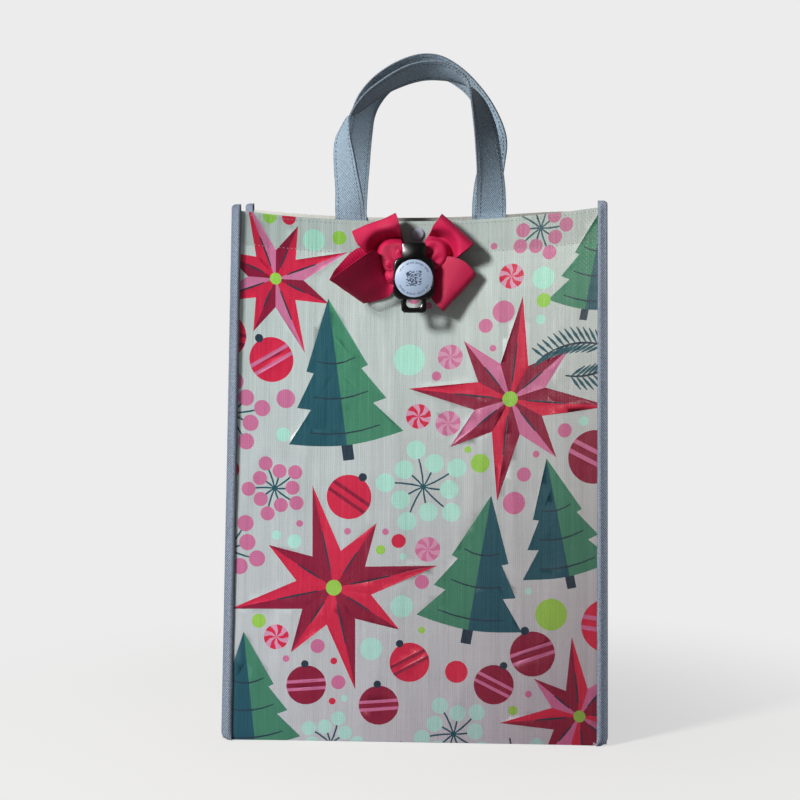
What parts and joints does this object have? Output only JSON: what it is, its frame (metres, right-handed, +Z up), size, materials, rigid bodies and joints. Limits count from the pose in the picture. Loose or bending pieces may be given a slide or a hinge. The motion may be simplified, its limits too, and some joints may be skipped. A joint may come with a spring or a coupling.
{
  "type": "gift bag",
  "caption": "Tall woven-sheet gift bag with bound side seams, creased gussets, two strap handles, a snap at the mouth and a ribbon bow with a round tag, held by a snap of its own.",
  "frame": {"origin": "centre of the base, on the floor the bag stands on", "axes": "+Z up to the handles, -Y towards the face that carries the bow, +X to the right of someone who faces the bow"},
  "size_m": [0.29, 0.1372, 0.5175],
  "materials": {
    "printed_sheet": "laminated woven polypropylene, printed with a festive pattern, soft gloss",
    "bag_sheet": "laminated woven polypropylene, soft gloss",
    "binding": "grey twill tape",
    "strap": "grey twill webbing with stitched edges",
    "snap_plastic": "smooth moulded plastic",
    "ribbon": "crimson grosgrain with fine cross ribs",
    "tag_black": "polished black",
    "tag_disc": "pale blue printed disc"
  },
  "bodies": {
    "bag_base": {"base_panel": "bag_sheet", "left_gusset": "bag_sheet", "right_gusset": "bag_sheet", "left_base_binding": "binding", "right_base_binding": "binding"},
    "front_wall": {"front_panel": "printed_sheet", "front_left_binding": "binding", "front_right_binding": "binding", "front_handle_tails": "strap", "front_snap_cap": "snap_plastic", "front_snap_socket": "snap_plastic", "bow_socket": "snap_plastic", "bow_socket_washer": "snap_plastic"},
    "back_wall": {"back_panel": "printed_sheet", "back_left_binding": "binding", "back_right_binding": "binding", "back_handle_tails": "strap", "back_snap_cap": "snap_plastic", "back_snap_stud": "snap_plastic"},
    "front_strap": {"front_handle": "strap"},
    "back_strap": {"back_handle": "strap"},
    "bow_fixing": {"bow_stud": "snap_plastic"},
    "bow": {"bow_ribbon_low": "ribbon", "bow_ribbon_high": "ribbon", "tag_holder": "tag_black", "tag_disc": "tag_disc"}
  },
  "joints": [
    {"name": "mouth_front", "type": "hinge", "parent": "bag_base", "child": "front_wall", "pos_m": [0, -0.059, 0.0003], "axis": [-1, 0, 0], "range_deg": [-2.5, 3], "stiffness_Nm_per_rad": 1.5, "deforming": ["left_gusset", "right_gusset"]},
    {"name": "mouth_back", "type": "hinge", "parent": "bag_base", "child": "back_wall", "pos_m": [0, 0.059, 0.0003], "axis": [1, 0, 0], "range_deg": [-2.5, 3], "stiffness_Nm_per_rad": 1.5},
    {"name": "front_handle_swing", "type": "hinge", "parent": "front_wall", "child": "front_strap", "pos_m": [0, -0.02447, 0.39532], "axis": [1, 0, 0], "range_deg": [-8, 78]},
    {"name": "back_handle_swing", "type": "hinge", "parent": "back_wall", "child": "back_strap", "pos_m": [0, 0.02447, 0.39532], "axis": [-1, 0, 0], "range_deg": [-8, 78]},
    {"name": "bow_unsnap", "type": "slide", "parent": "front_wall", "child": "bow_fixing", "axis": [0, -0.996, 0.0896], "range_m": [0, 0.015]},
    {"name": "bow_turn", "type": "hinge", "parent": "bow_fixing", "child": "bow", "pos_m": [-0.004, -0.02562, 0.36], "axis": [0, -0.996, 0.0896], "range_deg": [-20, 20]}
  ],
  "couplings": [
    {"joint": "mouth_back", "follows": "mouth_front", "ratio": 1}
  ]
}
